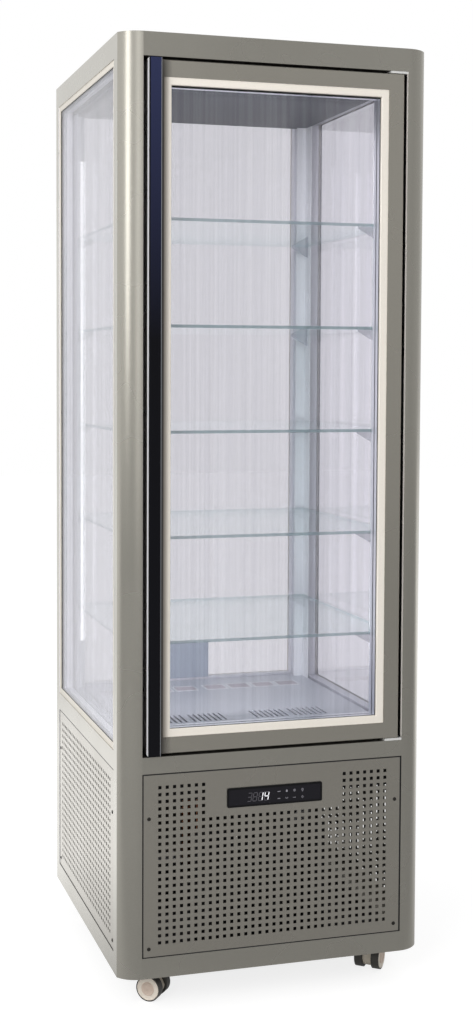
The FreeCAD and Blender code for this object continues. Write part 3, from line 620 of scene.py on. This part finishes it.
def ring(mesh, side, u, z, widths, d):
    """Closed band just inside the limits u and z, between two depths; widths go start, low, end, high."""
    loops = []
    for depth, step in ((d[0], 0), (d[0], 1), (d[1], 1), (d[1], 0)):
        start, low, end, high = (step * w for w in widths)
        us, zs = (u[0] + start, u[1] - end), (z[0] + low, z[1] - high)
        spots = ((us[0], zs[0]), (us[1], zs[0]), (us[1], zs[1]), (us[0], zs[1]))
        loops.append([mesh.verts.new(side.at(a, depth, b)) for a, b in spots])
    for one, two in zip(loops, loops[1:] + loops[:1]):
        for k in range(4):
            n = (k + 1) % 4
            mesh.faces.new([one[k], one[n], two[n], two[k]])


DOOR_TRIM_W = 14.5 * MM
SIDE_TRIM_W = 11.5 * MM
BEAD = 0.7 * MM
# The door bead is widest at the top, as painted shade under the trim
TOP_BEAD_SHADE = 2.2 * MM
BEAD_T = 0.7 * MM
PANE_LINE = 1.2 * MM
PANE_LINE_T = 0.4 * MM
REAR_LINE = 8.0 * MM
# Width and depths of the painted shade line in the gaps round the lower panels
GAP_SHADE = 1.8 * MM
GAP_SHADE_DEPTHS = (-0.25 * MM, 0.2 * MM)


def beads_and_shade():
    """Black bead between the door's front pane and its pale trim, partly a rubber bead and partly painted
    shade under the trim, widest at the top; and thin black lines round the side panes, wider along the rear
    edge.
    """
    low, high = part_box("door_trim")
    door = Side("door_glass", (1, 0, 0), (0, 1, 0))
    mesh = bmesh.new()
    across = (low.x - door.face.x + DOOR_TRIM_W, high.x - door.face.x - DOOR_TRIM_W)
    up = (low.z + DOOR_TRIM_W, high.z - DOOR_TRIM_W)
    # Black bead round the door pane: partly a rubber bead, partly painted shade under the trim
    ring(mesh, door, across, up, (BEAD, BEAD, BEAD, BEAD + TOP_BEAD_SHADE), (-BEAD_T, 0.0))
    add_piece("door_bead_and_shade", mesh, "black_bead_and_shade", "door")
    mesh = bmesh.new()
    posts = [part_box(f"corner_post_{k}") for k in ("front_left", "rear_left", "rear_right", "front_right")]
    up = (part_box("mid_rails")[1].z + SIDE_TRIM_W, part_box("top_rails")[0].z - SIDE_TRIM_W)
    spans = (("left_glass", LEFT, posts[0], posts[1]), ("right_glass", RIGHT, posts[2], posts[3]))
    for node, panel, one, two in spans:
        side = Side(node, panel.along, panel.inward)
        ends = [(corner - side.face).dot(side.along) for post in (one, two) for corner in post]
        start, end = sorted(sorted(ends, key=abs)[:2])
        widths = [PANE_LINE] * 4
        widths[0 if side.along.y < 0 else 2] = REAR_LINE
        ring(mesh, side, (start + SIDE_TRIM_W, end - SIDE_TRIM_W), up, widths, (-PANE_LINE_T, 0.0))
    add_piece("pane_lines", mesh, "black_bead_and_shade", "cabinet")


def panel_gap_shades():
    """Painted shade: a dark line in the gap along the edges of each lower panel."""
    mesh = bmesh.new()
    for side in (FRONT, LEFT, RIGHT, REAR):
        # Painted shade: a dark line in the gap round each lower panel
        ring(mesh, side, (-side.half, side.half), (side.low, side.high), [GAP_SHADE] * 4, GAP_SHADE_DEPTHS)
    add_piece("panel_gap_shades", mesh, "black_bead_and_shade", "cabinet")


VENT_X = [s * (35.0 + 57.5 * k) * MM for s in (-1, 1) for k in range(4)]
VENT_Y = (179 * MM, 223 * MM)
VENT_HALF = 24 * MM
SLATS = 7
SLAT_HALF = 1.6 * MM
SLAT_DROP = 2.0 * MM
SLAT_RISE = 0.3 * MM
FLANGE_OVER = 2.5 * MM
FLANGE_UNDER = 1.5 * MM
FLANGE = FLANGE_OVER + FLANGE_UNDER
FLANGE_T = 0.6 * MM


def vent_grilles():
    """Grilles in the floor vents: a thin pale flange on the tray and slats across the opening."""
    mesh, slats = bmesh.new(), bmesh.new()
    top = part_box("floor_tray")[1].z
    flat = Side("floor_tray", (1, 0, 0), (0, 1, 0))
    flat.face = Vector((0, 0, 0))
    deep = (VENT_Y[0] - FLANGE_OVER, VENT_Y[1] + FLANGE_OVER)
    middle = (deep[0] + FLANGE, deep[1] - FLANGE)
    pitch = (middle[1] - middle[0]) / SLATS
    thick = (top, top + FLANGE_T)
    slat_z = (top - SLAT_DROP, top + SLAT_RISE)
    for x in VENT_X:
        wide = (x - VENT_HALF - FLANGE_OVER, x + VENT_HALF + FLANGE_OVER)
        across = (x - VENT_HALF + FLANGE_UNDER, x + VENT_HALF - FLANGE_UNDER)
        slab(mesh, flat, wide, (deep[0], middle[0]), thick)
        slab(mesh, flat, wide, (middle[1], deep[1]), thick)
        slab(mesh, flat, (wide[0], across[0]), middle, thick)
        slab(mesh, flat, (across[1], wide[1]), middle, thick)
        for k in range(1, SLATS):
            y = middle[0] + k * pitch
            slab(slats, flat, across, (y - SLAT_HALF, y + SLAT_HALF), slat_z)
    add_piece("vent_grilles", mesh, "support_paint", "cabinet")
    add_piece("vent_slats", slats, "vent_slat", "cabinet")


# Display marks: places in millimetres from the middle of the window, x to the right and z up

MARK_T = 0.12 * MM
DIGIT_W, DIGIT_H, STROKE, SLANT = 7.6, 16.0, 1.5, 0.16
DIGIT_AT = (-52.0, -41.0, -29.5, -17.5)
DIGIT_Z = -1.0
LIT = {2: "bc", 3: "bcfg"}
DIM = {0: "abcdg", 1: "abcdefg", 2: "adefg", 3: "ade"}
SYMBOL_X = (8.0, 24.0, 40.0, 56.5)
SYMBOL_Z = (6.0, -8.0)


def mark(mesh, points):
    """Thin closed plate on the display's window."""
    low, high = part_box("display_window")
    middle = (low + high) / 2
    loops = []
    for y in (low.y - MARK_T, low.y + MARK_T):
        loops.append([mesh.verts.new((middle.x + x * MM, y, middle.z + z * MM)) for x, z in points])
    for loop in loops:
        mesh.faces.new(loop)
    for k in range(len(points)):
        n = (k + 1) % len(points)
        mesh.faces.new([loops[0][k], loops[0][n], loops[1][n], loops[1][k]])


def bar_mark(mesh, x, z, wide, high):
    """Level bar round a middle."""
    a, b = wide / 2, high / 2
    mark(mesh, [(x - a, z - b), (x + a, z - b), (x + a, z + b), (x - a, z + b)])


def segment(mesh, cx, cz, letter):
    """One bar of a seven-bar digit, pointed at its ends and slanted."""
    w, h, s = DIGIT_W / 2, DIGIT_H / 2, STROKE / 2
    ends = {
        "a": ((-w, h), (w, h)),
        "b": ((w, 0), (w, h)),
        "c": ((w, -h), (w, 0)),
        "d": ((-w, -h), (w, -h)),
        "e": ((-w, -h), (-w, 0)),
        "f": ((-w, 0), (-w, h)),
        "g": ((-w, 0), (w, 0)),
    }
    (x0, z0), (x1, z1) = ends[letter]
    run = Vector((x1 - x0, z1 - z0)).normalized()
    side = Vector((-run.y, run.x)) * s
    start = Vector((x0, z0)) + run * s * 0.4
    end = Vector((x1, z1)) - run * s * 0.4
    near, far = start + run * s, end - run * s
    line = (start, near + side, far + side, end, far - side, near - side)
    mark(mesh, [(cx + p.x + p.y * SLANT, cz + p.y) for p in line])


def digits():
    """Seven-bar digits: the number that is lit and the bars that are dark."""
    for name, look, bars in (("display_number", "digit_lit", LIT), ("display_dark_bars", "digit_dim", DIM)):
        mesh = bmesh.new()
        for place, letters in bars.items():
            for letter in letters:
                segment(mesh, DIGIT_AT[place], DIGIT_Z, letter)
        add_piece(name, mesh, look, "cabinet")


def ring_mark(mesh, x, z, outer, inner, steps):
    """Ring of flat bars round a middle."""
    for k in range(steps):
        a, b = (2 * math.pi * (k + j) / steps for j in (0.04, 0.96))
        corners = ((outer, a), (outer, b), (inner, b), (inner, a))
        mark(mesh, [(x + r * math.sin(t), z + r * math.cos(t)) for r, t in corners])


def symbols():
    """Plain touch marks: bars, a drop, a star, a lamp, a chevron and rings."""
    mesh = bmesh.new()
    high, low = SYMBOL_Z
    x = SYMBOL_X
    for z in SYMBOL_Z:
        bar_mark(mesh, x[0], z, 6.0, 1.0)
    drop = [(0, 3.2), (1.6, 0.6), (1.9, -0.8), (1.0, -2.2), (-1.0, -2.2), (-1.9, -0.8), (-1.6, 0.6)]
    mark(mesh, [(x[1] + a, high + b) for a, b in drop])
    for k in range(6):
        t = math.pi * k / 3
        out = Vector((math.sin(t), math.cos(t)))
        side = Vector((math.cos(t), -math.sin(t))) * 0.35
        ray = (out * 0.7 - side, out * 2.9 - side, out * 2.9 + side, out * 0.7 + side)
        mark(mesh, [(x[2] + p.x, high + p.y) for p in ray])
    ring_mark(mesh, x[3], high + 0.6, 2.2, 1.4, 8)
    bar_mark(mesh, x[3], high - 2.65, 1.8, 1.1)
    for s in (-1, 1):
        leg = [(0, -1.6), (s * 2.8, 0.9), (s * 2.8, 1.9), (0, -0.6)]
        mark(mesh, [(x[1] + a, low + b) for a, b in leg][::s])
    bar_mark(mesh, x[2], low, 5.6, 0.8)
    ring_mark(mesh, x[3], low, 2.6, 1.9, 4)
    add_piece("display_symbols", mesh, "symbol_dim", "cabinet")


# Turned profiles in millimetres: radius and height, from the axis out and back
CAP = (
    (0, 1.2), (2.6, 1.2), (3.4, 0.9), (3.8, 0.3), (9.0, 0.3), (9.8, 0.9), (11.2, 0.9),
    (12.0, 0.3), (19.6, 0.3), (20.4, 1.0), (21.8, 1.0), (22.6, 0.4), (22.8, -0.2), (0, -0.2),
)
BOSS = (
    (0, 1.6), (3.0, 1.6), (3.6, 1.3), (10.6, 1.3), (11.2, 1.7), (12.6, 1.7), (13.2, 1.2),
    (13.2, 0.2), (0, 0.2),
)
HUB_STEPS = 48
HUB_PIECES = (("hub_cap", in_metres(CAP)), ("hub_boss", in_metres(BOSS)))


def hub_caps():
    """Pale caps with a raised boss and rings on the outer face of each caster wheel."""
    for corner in ("front_left", "front_right", "rear_left", "rear_right"):
        wheels = [f"caster_wheel_{corner}_{k}" for k in "ab"]
        middles = [sum(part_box(w), Vector()) / 2 for w in wheels]
        axle = (middles[1] - middles[0]).normalized()
        for wheel, middle, out in zip(wheels, middles, (-axle, axle)):
            node = frame["nodes"][wheel]
            points = [node.matrix_world @ v.co for v in node.data.vertices]
            face = max((p - middle).dot(out) for p in points)
            spot = wheel.removeprefix("caster_wheel_")
            for name, profile in HUB_PIECES:
                mesh = bmesh.new()
                lathe(mesh, profile, middle + out * face, out, HUB_STEPS)
                add_piece(f"{name}_{spot}", mesh, name, f"wheel_{spot}", smooth=True)


PLATE_X = (-45 * MM, 47 * MM)
PLATE_Z = (515 * MM, 598 * MM)
PLATE_T = 0.6 * MM


def rear_plate():
    """Bare plate on the inner face of the rear glass."""
    mesh = bmesh.new()
    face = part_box("rear_glass")[0].y
    back = Side("rear_panel", (1, 0, 0), (0, 1, 0))
    back.face = Vector((0, face - PLATE_T, 0))
    slab(mesh, back, PLATE_X, (0, PLATE_T), PLATE_Z)
    bmesh.ops.bevel(mesh, geom=mesh.edges[:], offset=0.2 * MM, segments=2, affect="EDGES")
    add_piece("rear_plate", mesh, "bare_plate", "cabinet")


# Studio

FLOOR_GLOW = 0.8
# Shine of the floor in reflections: it grows over one run of metres backward and fades a little over another
FLOOR_SHINE, FLOOR_RUN = (0.13, 1.25), (-0.5, 0.7)
FAR_SHINE, FAR_RUN = 0.74, (1.9, 2.6)
BACKWARD = (-0.12, 1, 0)
FILL = 0.72


def add_lamp(name, place, target, size, power, seen=True):
    """Soft rectangular lamp aimed at a point; seen says whether gloss shows it."""
    lamp = bpy.data.lights.new(name, "AREA")
    lamp.shape = "RECTANGLE"
    lamp.size, lamp.size_y = size
    lamp.energy = power
    holder = bpy.data.objects.new(name, lamp)
    aim = Vector(target) - Vector(place)
    holder.visible_camera = False
    holder.visible_glossy = seen
    holder.matrix_world = Matrix.Translation(place) @ aim.to_track_quat("-Z", "Y").to_matrix().to_4x4()
    scene.collection.objects.link(holder)


def seen_rays(nodes, link):
    """1 for rays from the camera and through glass."""
    path = nodes.new("ShaderNodeLightPath")
    either = nodes.new("ShaderNodeMath")
    either.operation = "MAXIMUM"
    link(path.outputs["Is Camera Ray"], either.inputs[0])
    link(path.outputs["Is Transmission Ray"], either.inputs[1])
    return either.outputs["Value"]


def add_floor():
    """White floor that keeps the soft shadow; in reflections it is dark in front and brighter behind."""
    mesh = bmesh.new()
    bmesh.ops.create_grid(mesh, x_segments=8, y_segments=8, size=14.0)
    data = bpy.data.meshes.new("floor")
    mesh.to_mesh(data)
    mesh.free()
    look = Look("floor")
    grey = look.shades(look.noise(2.0), (0.31, 0.31, 0.31), (0.33, 0.33, 0.33))
    look.link(grey, look.shader.inputs["Base Color"])
    look.shader.inputs["Roughness"].default_value = 0.9
    look.shader.inputs["Specular IOR Level"].default_value = 0.0
    look.shader.inputs["Emission Color"].default_value = (1, 1, 1, 1)
    depth = look.vector("DOT_PRODUCT", look.own("Object"), BACKWARD)
    gloss = look.nodes.new("ShaderNodeLightPath").outputs["Is Glossy Ray"]
    near = look.both(gloss, look.spread(depth, *FLOOR_SHINE, *FLOOR_RUN))
    shine = look.both(near, look.spread(depth, 1.0, FAR_SHINE, *FAR_RUN))
    plain = look.spread(seen_rays(look.nodes, look.link), 0.0, FLOOR_GLOW, 0.0, 1.0)
    look.link(look.math("ADD", plain, shine), look.shader.inputs["Emission Strength"])
    data.materials.append(look.material)
    floor = bpy.data.objects.new("floor", data)
    scene.collection.objects.link(floor)


# Brightness of the studio walls in reflections, by degrees round from the front, left positive
WALLS = (
    (-180, 1.15), (-120, 0.85), (-90, 0.6), (-45, 0.5), (-26, 0.6), (-16, 0.33), (-8, 0.55),
    (0, 1.6), (8, 1.75), (15, 1.15), (25, 0.8), (36, 0.78), (50, 0.9), (75, 1.0), (100, 1.0),
    (150, 1.1), (180, 1.15),
)
WALL_GAIN = 2.0


def add_world():
    """White for sight and through glass, soft walls in reflections, and an even fill."""
    world = bpy.data.worlds.new("studio")
    world.use_nodes = True
    scene.world = world
    nodes, link = world.node_tree.nodes, world.node_tree.links.new
    fill = nodes["Background"]
    fill.inputs["Color"].default_value = (1, 1, 1, 1)
    fill.inputs["Strength"].default_value = FILL
    white = nodes.new("ShaderNodeBackground")
    white.inputs["Color"].default_value = (1, 1, 1, 1)
    room = nodes.new("ShaderNodeBackground")
    split = nodes.new("ShaderNodeSeparateXYZ")
    turn = nodes.new("ShaderNodeMath")
    turn.operation = "ARCTAN2"
    around = nodes.new("ShaderNodeMapRange")
    for socket, value in (("From Min", math.pi), ("From Max", -math.pi)):
        around.inputs[socket].default_value = value
    walls = nodes.new("ShaderNodeValToRGB")
    walls.color_ramp.interpolation = "EASE"
    stops = walls.color_ramp.elements
    while len(stops) < len(WALLS):
        stops.new(0.5)
    for stop, (degrees, bright) in zip(stops, WALLS):
        stop.position = degrees / 360 + 0.5
        stop.color = (*[bright / WALL_GAIN] * 3, 1.0)
    room.inputs["Strength"].default_value = WALL_GAIN
    link(nodes.new("ShaderNodeTexCoord").outputs["Generated"], split.inputs["Vector"])
    flip = nodes.new("ShaderNodeMath")
    flip.operation = "MULTIPLY"
    flip.inputs[1].default_value = -1.0
    link(split.outputs["Y"], flip.inputs[0])
    link(split.outputs["X"], turn.inputs[0])
    link(flip.outputs["Value"], turn.inputs[1])
    link(turn.outputs["Value"], around.inputs["Value"])
    link(around.outputs["Result"], walls.inputs["Fac"])
    link(walls.outputs["Color"], room.inputs["Color"])
    shiny = nodes.new("ShaderNodeMixShader")
    seen = nodes.new("ShaderNodeMixShader")
    link(nodes.new("ShaderNodeLightPath").outputs["Is Glossy Ray"], shiny.inputs["Fac"])
    link(fill.outputs["Background"], shiny.inputs[1])
    link(room.outputs["Background"], shiny.inputs[2])
    link(seen_rays(nodes, link), seen.inputs["Fac"])
    link(shiny.outputs["Shader"], seen.inputs[1])
    link(white.outputs["Background"], seen.inputs[2])
    link(seen.outputs["Shader"], nodes["World Output"].inputs["Surface"])


def add_studio():
    """Floor, world and lamps: two on the left, two thin strips for the side glass and two in the room."""
    add_floor()
    add_world()
    add_lamp("key_left", (-2.6, -2.22, 2.35), (-0.3, -0.3, 1.3), (0.95, 2.1), 18)
    add_lamp("soft_left", (-2.7, -3.2, 2.2), (0, 0, 1.0), (1.6, 2.4), 68, seen=False)
    add_lamp("strip_wide", (-0.889, 2.76, 1.1), (-0.3, 0.05, 1.1), (0.01, 1.9), 0.1)
    add_lamp("strip_thin", (-0.78, 2.76, 1.1), (-0.3, 0.0, 1.1), (0.012, 1.94), 0.05)
    for name, height, up in (("room_top", 1.72, -0.8), ("room_low", 0.6, 0.8)):
        add_lamp(name, (0, -0.2, height), (0, 0.4, height + up), (0.3, 0.04), 2, seen=False)
    scene.view_settings.view_transform = "Standard"
    scene.cycles.max_bounces = 16
    scene.cycles.transparent_max_bounces = 64


add_camera()
dress_frame()
punched_panel(LEFT)
punched_panel(RIGHT)
window_low, window_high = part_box("display_window")
punched_panel(FRONT, ([window_low.x, window_high.x], [window_low.z, window_high.z]))
screws()
beads_and_shade()
panel_gap_shades()
vent_grilles()
digits()
symbols()
hub_caps()
rear_plate()
add_studio()
